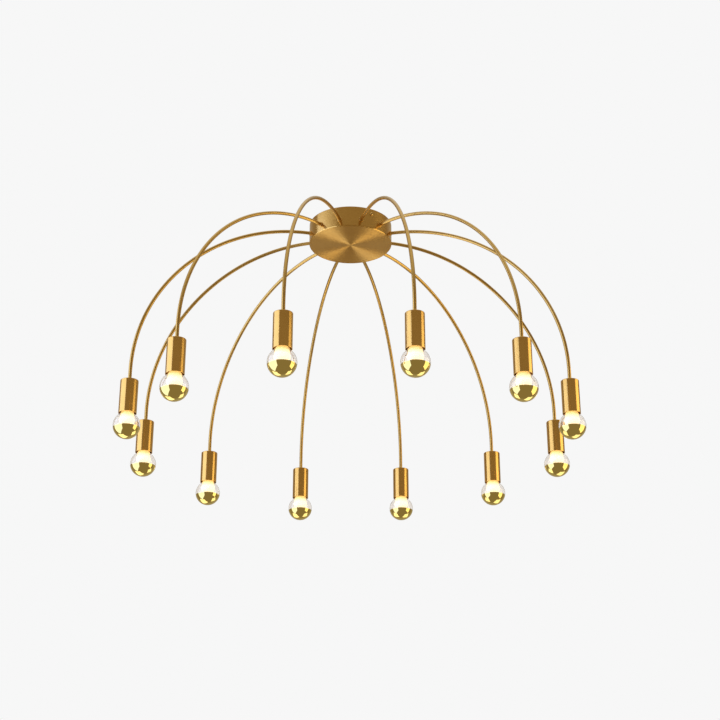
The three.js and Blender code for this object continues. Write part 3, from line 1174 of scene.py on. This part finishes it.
@dataclass
class Arms:
    """The bent tubes, each screwed through the canopy wall with a collar outside and a lock nut inside."""

    angles: list[float]
    canopy_radius: float
    level: float
    ring_radius: float
    cup_top: float
    bend_radius: float = 300 * MM
    canopy_wall: float = 1.2 * MM
    radius: float = 3 * MM
    bore: float = 2.2 * MM
    inside: float = 9 * MM
    into_cup: float = 12 * MM
    collar_radius: float = 4.4 * MM
    collar_length: float = 2 * MM
    nut_radius: float = 5.8 * MM
    nut_length: float = 3 * MM
    washer_bore: float = 3.2 * MM
    washer_radius: float = 6.6 * MM

    def centreline(self) -> list[Vector]:
        """Returns the tube's centreline in its own XZ plane, from inside the canopy to inside the cup."""
        bend_start = self.ring_radius - self.bend_radius
        bend_end = self.level - self.bend_radius
        start = self.canopy_radius - self.canopy_wall - 1.2 * MM
        points = [Vector((start, 0, self.level)), Vector((start + 2 * MM, 0, self.level))]
        steps = 128
        for i in range(steps + 1):
            a = math.pi / 2 * i / steps
            x = bend_start + self.bend_radius * math.sin(a)
            points.append(Vector((x, 0, bend_end + self.bend_radius * math.cos(a))))
        low = self.cup_top - self.into_cup
        points += [Vector((self.ring_radius, 0, (bend_end + low) / 2)), Vector((self.ring_radius, 0, low))]
        return points

    def build(self, fitter: Fitter) -> None:
        """Makes the tubes, collars, root threads, washers and nuts.

        Args:
            fitter: places the pieces.
        """
        tube = Shaper.swept("arm_tube", self.centreline(), self.radius, self.bore, 32)
        soft = 0.35 * MM
        rings = [Ring(self.radius, 0)]
        rings += Shaper.fillet((self.collar_radius - soft, soft), soft, -90, 0, 4)
        rings += Shaper.fillet((self.collar_radius - soft, self.collar_length - soft), soft, 0, 90, 4)
        rings.append(Ring(self.radius + 0.25 * MM, self.collar_length))
        rings.append(Ring(self.radius, self.collar_length - 0.2 * MM))
        collar = Shaper.turned("arm_collar", rings, 40, closed=True)
        root, back = self.radius * 0.87, self.radius * 0.8
        thread = Shaper.threaded(
            "arm_thread", self.radius, root, back, 0.75 * MM, self.inside + MM, 28, False
        )
        pipe = Shaper.turned(
            "arm_root",
            [
                Ring(self.bore, 0.0),
                Ring(self.radius * 0.86, 0.0),
                Ring(self.radius * 0.88, self.inside),
                Ring(self.bore, self.inside),
            ],
            28,
            closed=True,
        )
        flat = self.nut_radius * math.cos(math.pi / 6)
        nut = Shaper.turned(
            "arm_nut",
            [
                Ring(self.radius * 0.9, 0.3 * MM),
                Ring(self.radius * 1.08, 0.0),
                Ring(flat * 0.97, 0.0),
                Ring(self.nut_radius, 0.45 * MM, 6),
                Ring(self.nut_radius, self.nut_length - 0.45 * MM, 6),
                Ring(flat * 0.97, self.nut_length),
                Ring(self.radius * 1.08, self.nut_length),
                Ring(self.radius * 0.9, self.nut_length - 0.3 * MM),
            ],
            72,
            closed=True,
        )
        washer = Shaper.washer("arm_washer", self.washer_bore, self.washer_radius, 48)
        inner = self.canopy_radius - self.canopy_wall
        seat = math.sqrt(inner**2 - self.washer_radius**2) - 0.55 * MM
        for number, angle in enumerate(self.angles, 1):
            turn = Matrix.Rotation(angle, 4, "Z")
            tag = f"{number:02d}"
            fitter.put(f"arm_tube_{tag}", tube, "tube_brass", turn, replaces=(f"arm_{tag}",))
            for piece, mesh, x, finish in (
                ("arm_collar", collar, self.canopy_radius - 0.1 * MM, "turned_brass"),
                ("arm_thread", thread, inner - self.inside, "turned_brass"),
                ("arm_root", pipe, inner - self.inside, "turned_brass"),
                ("arm_nut", nut, seat - self.nut_length, "turned_brass"),
                ("arm_washer", washer, seat, "bright_steel"),
            ):
                place = Matrix.Translation((x, 0, self.level)) @ SIDEWAYS
                fitter.put(f"{piece}_{tag}", mesh, finish, turn @ place)


@dataclass
class LampCups:
    """The long cups on the arm ends, with the lamp holder in each."""

    angles: list[float]
    ring_radius: float
    top: float
    mouth: float
    holder_top: float
    holder_mouth: float
    radius: float = 15 * MM
    wall: float = 1 * MM
    roof: float = 1.5 * MM
    edge: float = 0.9 * MM
    tube_hole: float = 3.15 * MM
    holder_radius: float = 12.8 * MM
    holder_bore: float = 7.4 * MM
    thread_length: float = 24 * MM
    nipple_bore: float = 2.9 * MM
    nipple_radius: float = 4.9 * MM
    nut_radius: float = 8.2 * MM
    nut_length: float = 3 * MM

    def build(self, fitter: Fitter) -> None:
        """Makes the cups, the nipple and nut that hold each, and the lamp holders.

        Args:
            fitter: places the pieces.
        """
        inner = self.radius - self.wall
        lip = 0.35 * MM
        rings = [Ring(self.tube_hole, self.top)]
        rings += Shaper.fillet((self.radius - self.edge, self.top - self.edge), self.edge, 90, 0, 6)
        rings += Shaper.fillet((self.radius - lip, self.mouth + lip), lip, 0, -90, 4)
        rings += Shaper.fillet((inner + lip, self.mouth + lip), lip, -90, -180, 4)
        rings += [Ring(inner, (self.top + self.mouth) / 2), Ring(inner, self.top - self.roof)]
        rings.append(Ring(self.tube_hole, self.top - self.roof))
        cup = Shaper.turned("cup_shell", rings, 96, closed=True)
        holder = Shaper.turned("holder_body", self.holder_rings(), 48, closed=True)
        thread = Shaper.threaded(
            "holder_thread",
            self.holder_bore,
            self.holder_bore - 0.7 * MM,
            self.holder_bore + 0.3 * MM,
            LAMP_PITCH,
            self.thread_length,
            40,
            True,
        )
        nut_low = self.top - self.roof - 3.4 * MM
        nipple = Shaper.turned(
            "cup_nipple",
            [
                Ring(self.nipple_bore, self.holder_top - 4 * MM),
                Ring(self.nipple_radius, self.holder_top - 4 * MM),
                Ring(self.nipple_radius, nut_low),
                Ring(self.nut_radius, nut_low, 6),
                Ring(self.nut_radius, nut_low + self.nut_length, 6),
                Ring(self.nipple_bore, nut_low + self.nut_length),
            ],
            48,
            closed=True,
        )
        for number, angle in enumerate(self.angles, 1):
            tag = f"{number:02d}"
            place = on_ring(angle, self.ring_radius, 0)
            for piece, mesh, finish, slot, node in (
                ("cup_shell", cup, "brushed_brass", "satin_brass", "lamp_cup"),
                ("holder_body", holder, "holder_plastic", "holder_plastic", "lamp_holder"),
            ):
                fitter.put(f"{piece}_{tag}", mesh, finish, place, replaces=(f"{node}_{tag}",))
            low = place @ Matrix.Translation((0, 0, self.holder_mouth + 3 * MM))
            fitter.put(f"holder_thread_{tag}", thread, "cap_brass", low)
            fitter.put(f"cup_nipple_{tag}", nipple, "turned_brass", place)

    def holder_rings(self) -> list[Ring]:
        """Returns the lamp holder's profile, with a ribbed skirt and a stepped mouth."""
        low, top = self.holder_mouth, self.holder_top
        bore, outer = self.holder_bore + 0.5 * MM, self.holder_radius
        rings = [Ring(bore, low + MM), Ring(bore + 0.8 * MM, low)]
        rings += Shaper.fillet((outer - 0.8 * MM, low + 0.8 * MM), 0.8 * MM, -90, 0, 4)
        for rib in range(5):
            z = low + (6 + 5 * rib) * MM
            groove = outer - 0.5 * MM
            rings += [Ring(outer, z), Ring(groove, z + 0.5 * MM)]
            rings += [Ring(groove, z + 3 * MM), Ring(outer, z + 3.5 * MM)]
        rings += Shaper.fillet((outer - 1.2 * MM, top - 1.2 * MM), 1.2 * MM, 0, 90, 4)
        rings += [Ring(5.2 * MM, top), Ring(5.2 * MM, top - 7 * MM), Ring(2.6 * MM, top - 7 * MM)]
        rings += [Ring(2.6 * MM, top - 12 * MM), Ring(bore, top - 12 * MM)]
        return rings


@dataclass
class GlobeLamps:
    """The half-mirrored globe lamps: glass, mirror coat, light source and screw cap."""

    angles: list[float]
    ring_radius: float
    bottom: float
    top: float
    mouth: float
    radius: float
    glass: float = 0.8 * MM
    neck: float = 12.2 * MM
    shoulder: float = 42.0
    cap_radius: float = 7 * MM
    cap_start: float = 29 * MM
    tip_length: float = 2 * MM
    coat_edge: float = -10.5

    def envelope(self, radius: float, thin: float, start: float) -> list[Ring]:
        """Rings up one side of the glass, from a latitude of the globe to the cap.

        Args:
            radius: the globe's radius on this side of the glass.
            thin: how far this side stands in from the outer one.
            start: the first latitude in degrees, negative below the equator.

        Returns:
            The rings, with height 0 at the globe's centre.
        """
        rings = Shaper.fillet((0.0, 0.0), radius, start, self.shoulder, 26)
        shoulder = rings[-1]
        mouth = self.mouth - self.bottom - self.radius
        a = Vector((shoulder.radius, shoulder.height, 0))
        slope = math.radians(self.shoulder + 90)
        out = Vector((math.cos(slope), math.sin(slope), 0))
        d = Vector((self.cap_radius + 0.3 * MM - thin, self.cap_start, 0))
        neck = Vector((self.neck - thin, mouth, 0))
        first = bezier(a, a + out * 3 * MM, neck - Vector((-0.9, 2.2, 0)) * MM, neck, 8)
        second = bezier(neck, neck + Vector((-0.9, 2.2, 0)) * MM, d - Vector((-1.6, 3.4, 0)) * MM, d, 8)
        return rings + [Ring(p.x, p.y) for p in first[1:] + second[1:]]

    def build(self, fitter: Fitter) -> None:
        """Makes the lamps.

        Args:
            fitter: places the pieces.
        """
        centre = self.bottom + self.radius
        cap_top = self.top - centre - self.tip_length
        inner = self.radius - self.glass
        outer_side = self.envelope(self.radius, 0.0, self.coat_edge)
        inner_side = self.envelope(inner, self.glass, self.coat_edge)
        glass = Shaper.turned("lamp_glass", outer_side + inner_side[::-1], 64, closed=True)
        coat = Shaper.fillet((0.0, 0.0), self.radius - 0.02 * MM, -90, self.coat_edge - 0.1, 30)
        coat += Shaper.fillet((0.0, 0.0), inner - 0.1 * MM, self.coat_edge - 0.1, -90, 24)
        mirror = Shaper.turned("lamp_mirror", coat, 72)
        cap_length = cap_top - self.cap_start
        core = self.cap_radius - 0.75 * MM
        crest, back = self.cap_radius - 0.15 * MM, core - 0.4 * MM
        thread = Shaper.threaded("cap_thread", crest, core, back, LAMP_PITCH, cap_length - 6 * MM, 40, True)
        foot, wide = self.cap_start, self.cap_radius
        collar = [Ring(core - MM, foot - 2 * MM), Ring(wide + 0.9 * MM, foot - 2 * MM)]
        collar += [Ring(wide + 0.6 * MM, foot + 0.5 * MM), Ring(wide - 0.2 * MM, foot + 1.5 * MM)]
        collar += [Ring(core, foot + 3 * MM), Ring(core, cap_top - 3.4 * MM)]
        collar += [Ring(core - 0.8 * MM, cap_top - 2.2 * MM), Ring(core - 1.6 * MM, cap_top - 2.2 * MM)]
        collar.append(Ring(core - 1.6 * MM, foot))
        cap = Shaper.turned("cap_shell", collar, 40, closed=True)
        insulator = Shaper.turned(
            "cap_insulator",
            [
                Ring(0.0, cap_top - 4 * MM),
                Ring(core - 1.7 * MM, cap_top - 4 * MM),
                Ring(core - 1.2 * MM, cap_top - 2 * MM),
                Ring(3.1 * MM, cap_top - 0.2 * MM),
                Ring(0.0, cap_top),
            ],
            32,
        )
        contact = [Ring(0.0, cap_top - 0.5 * MM), Ring(2.5 * MM, cap_top - 0.5 * MM)]
        contact += Shaper.fillet((1.3 * MM, self.tip_length + cap_top - 1.2 * MM), 1.2 * MM, 0, 90, 4)
        contact.append(Ring(0.0, cap_top + self.tip_length))
        tip = Shaper.turned("cap_contact", contact, 24)
        opal = Shaper.turned(
            "lamp_opal",
            [
                Ring(0.0, -1.0 * MM),
                *Shaper.fillet((2.5 * MM, 9.0 * MM), 10.0 * MM, -90, 25, 14),
                Ring(11.0 * MM, 19.5 * MM),
                Ring(10.4 * MM, 22 * MM),
                Ring(7.0 * MM, 26 * MM),
                Ring(0.0, 26.5 * MM),
            ],
            48,
        )
        for number, angle in enumerate(self.angles, 1):
            tag = f"{number:02d}"
            body = f"lamp_{tag}"
            place = on_ring(angle, self.ring_radius, centre)
            stands_for = (f"bulb_{tag}",)
            shell = fitter.put(
                f"lamp_glass_{tag}", glass, "clear_glass", place, body, replaces=stands_for
            )
            shell.visible_shadow = False
            lifted = place @ Matrix.Translation((0, 0, self.cap_start + 1.6 * MM))
            for piece, mesh, finish, slot, where in (
                ("lamp_mirror", mirror, "mirror_coat", "lamp_glass", place),
                ("cap_thread", thread, "cap_brass", "screw_brass", lifted),
                ("cap_shell", cap, "cap_brass", "screw_brass", place),
                ("cap_insulator", insulator, "cap_glass", "holder_plastic", place),
                ("cap_contact", tip, "solder", "screw_steel", place),
                ("lamp_opal", opal, "lamp_opal", "lamp_glass", place),
            ):
                fitter.put(f"{piece}_{tag}", mesh, finish, where, body)


@dataclass(frozen=True)
class Softbox:
    """A rectangular soft light: where it hangs, what it faces, its size, colour and brightness."""

    name: str
    place: tuple[float, float, float]
    aim: tuple[float, float, float]
    width: float
    height: float
    colour: Colour
    brightness: float


@dataclass
class Studio:
    """A plain pale room with soft lights, and the camera."""

    viewpoint: Vector
    pitch: float
    yaw: float
    lens: float
    pale: float = 0.93
    floor_level: float = -2.6
    floor_half: float = 6.0
    dome_radius: float = 14.0
    room_shade: Colour = (0.28, 0.22, 0.13)
    # Each shade: the axis it lies on, where it starts, where it is full, and its colour.
    shades: tuple[tuple[int, float, float, Colour], ...] = (
        (1, 0.35, 0.9, (0.42, 0.37, 0.28)),
        (2, 0.5, 0.9, (0.8, 0.79, 0.75)),
    )
    softboxes: tuple[Softbox, ...] = (
        Softbox("window_left", (-1.6, -0.9, -0.7), (0, -0.9, -0.7), 2.5, 3.05, (0.6, 0.72, 1.0), 1.9),
        Softbox("window_right", (1.6, -0.2, -0.55), (0, -0.2, -0.55), 1.1, 1.8, (1.0, 0.84, 0.5), 1.7),
        Softbox("low_left", (-0.85, 0.75, -1.5), (0, 0, 0), 1.0, 1.0, (1.0, 0.95, 0.8), 1.6),
        Softbox("low_right", (0.85, 0.75, -1.5), (0, 0, 0), 0.9, 0.9, (1.0, 0.95, 0.8), 1.4),
    )

    def room(self) -> None:
        """Makes the pale floor and the backdrop. The dim surround that the metal reflects is made by
        surround.
        """
        sheet = NodeSheet("pale_floor")
        shader = sheet.add("ShaderNodeBsdfPrincipled")
        place = sheet.place()
        patches = sheet.noise(place, 1.5, 2.0)
        tone = sheet.mix(sheet.spread(patches, 0.0, 1.0), (0.8, 0.8, 0.8), (0.83, 0.83, 0.83))
        sheet.link(tone, shader.inputs["Base Color"])
        sheet.link(tone, shader.inputs["Emission Color"])
        shader.inputs["Emission Strength"].default_value = 0.5
        shader.inputs["Roughness"].default_value = 0.7
        half = self.floor_half
        low = Vector((-half, -half, self.floor_level - 0.1))
        floor = Shaper.boxed("floor", low, Vector((half, half, self.floor_level)), 0.02)
        ground = self.set_stage(floor, sheet.surface(shader))
        ground.visible_glossy = False
        ground.visible_diffuse = False
        sheet = NodeSheet("pale_backdrop")
        light = sheet.add("ShaderNodeEmission")
        light.inputs["Color"].default_value = (1, 1, 1, 1)
        light.inputs["Strength"].default_value = self.pale
        dome = Shaper.turned("backdrop", Shaper.fillet((0.0, 0.0), self.dome_radius, -90, 90, 24), 48)
        backdrop = self.set_stage(dome, sheet.surface(light))
        backdrop.visible_diffuse = False
        backdrop.visible_glossy = False
        backdrop.visible_shadow = False

    def set_stage(self, mesh: bpy.types.Mesh, material: bpy.types.Material) -> bpy.types.Object:
        """Adds a piece of the room.

        Args:
            mesh: its mesh.
            material: its material.

        Returns:
            The object.
        """
        mesh.materials.append(material)
        piece = bpy.data.objects.new(mesh.name, mesh)
        bpy.context.scene.collection.objects.link(piece)
        return piece

    def surround(self) -> None:
        """Makes the world: a dim warm room, a little brighter behind and above the light."""
        world = bpy.data.worlds.new("surround")
        world.use_nodes = True
        tree = world.node_tree
        split = tree.nodes.new("ShaderNodeSeparateXYZ")
        tree.links.new(tree.nodes.new("ShaderNodeTexCoord").outputs["Generated"], split.inputs[0])
        shown = None
        for axis, low, high, shade in self.shades:
            step = tree.nodes.new("ShaderNodeMapRange")
            step.interpolation_type = "SMOOTHSTEP"
            tree.links.new(split.outputs[axis], step.inputs["Value"])
            step.inputs["From Min"].default_value = low
            step.inputs["From Max"].default_value = high
            mix = tree.nodes.new("ShaderNodeMix")
            mix.data_type = "RGBA"
            tree.links.new(step.outputs[0], mix.inputs[0])
            mix.inputs[6].default_value = (*self.room_shade, 1.0)
            if shown:
                tree.links.new(shown, mix.inputs[6])
            mix.inputs[7].default_value = (*shade, 1.0)
            shown = mix.outputs[2]
        tree.links.new(shown, tree.nodes["Background"].inputs["Color"])
        bpy.context.scene.world = world

    def light(self) -> None:
        """Hangs the softboxes, each aimed at its own point."""
        for box in self.softboxes:
            lamp = bpy.data.lights.new(box.name, "AREA")
            lamp.shape = "RECTANGLE"
            lamp.size = box.width
            lamp.size_y = box.height
            lamp.energy = box.brightness * math.pi * box.width * box.height
            lamp.color = box.colour
            holder = bpy.data.objects.new(box.name, lamp)
            holder.location = box.place
            holder.rotation_mode = "QUATERNION"
            facing = Vector(box.aim) - Vector(box.place)
            holder.rotation_quaternion = facing.to_track_quat("-Z", "Y")
            bpy.context.scene.collection.objects.link(holder)

    def camera(self) -> None:
        """Sets the camera at the viewpoint."""
        data = bpy.data.cameras.new("camera")
        data.lens = self.lens
        data.sensor_width = 36.0
        data.clip_end = 60.0
        holder = bpy.data.objects.new("camera", data)
        holder.location = self.viewpoint
        pitch, yaw = math.radians(self.pitch), math.radians(self.yaw)
        forward = Vector((math.sin(yaw) * math.cos(pitch), math.cos(yaw) * math.cos(pitch), math.sin(pitch)))
        holder.rotation_mode = "QUATERNION"
        holder.rotation_quaternion = forward.to_track_quat("-Z", "Y")
        bpy.context.scene.collection.objects.link(holder)
        bpy.context.scene.camera = holder

    def build(self) -> None:
        """Makes the room, the lights and the camera."""
        self.room()
        self.surround()
        self.light()
        self.camera()
        bpy.context.scene.view_settings.view_transform = "Standard"


def main() -> None:
    """Builds the light round its frame."""
    logging.basicConfig(level=logging.INFO, format="%(message)s")
    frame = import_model()

    count = sum(1 for name in frame["nodes"] if name.startswith("arm_"))
    angles = []
    for number in range(1, count + 1):
        low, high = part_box(f"bulb_{number:02d}")
        middle = (low + high) / 2
        angles.append(math.atan2(middle.y, middle.x))
    # The lamps are alike, so the last one measured gives their ring and their size.
    ring_radius = Vector((middle.x, middle.y)).length
    cup_low, cup_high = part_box("lamp_cup_01")
    holder_low, holder_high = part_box("lamp_holder_01")
    canopy_low, canopy_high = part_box("canopy_shell")
    block_low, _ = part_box("terminal_block")
    _, arm_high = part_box("arm_01")
    screw_low, screw_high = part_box("canopy_screw_front")
    canopy_radius = (canopy_high.x - canopy_low.x) / 2
    level = round(arm_high.z - Arms.nut_radius * math.cos(math.pi / 6), 4)
    screw = (screw_low + screw_high) / 2

    fitter = Fitter(Workshop())
    steps = (
        ("canopy", Canopy(canopy_radius, -canopy_low.z)),
        ("fixings", Fixings(canopy_radius, math.atan2(screw.y, screw.x), -screw.z, block_low.z)),
        ("wiring", Wiring(level, block_low.z - LAYER_GAP, canopy_radius - Wiring.end_gap, angles)),
        ("arms", Arms(angles, canopy_radius, level, ring_radius, cup_high.z)),
        ("lamp cups", LampCups(angles, ring_radius, cup_high.z, cup_low.z, holder_high.z, holder_low.z)),
        (
            "globe lamps",
            GlobeLamps(angles, ring_radius, low.z, high.z, cup_low.z, (high.x - low.x) / 2),
        ),
    )
    for name, assembly in steps:
        before = fitter.count
        assembly.build(fitter)
        LOG.info("%s: %d pieces", name, fitter.count - before)

    Studio(viewpoint=Vector((0.012, -2.291, -1.230)), pitch=22.88, yaw=0.13, lens=71.4).build()


if __name__ == "__main__":
    main()
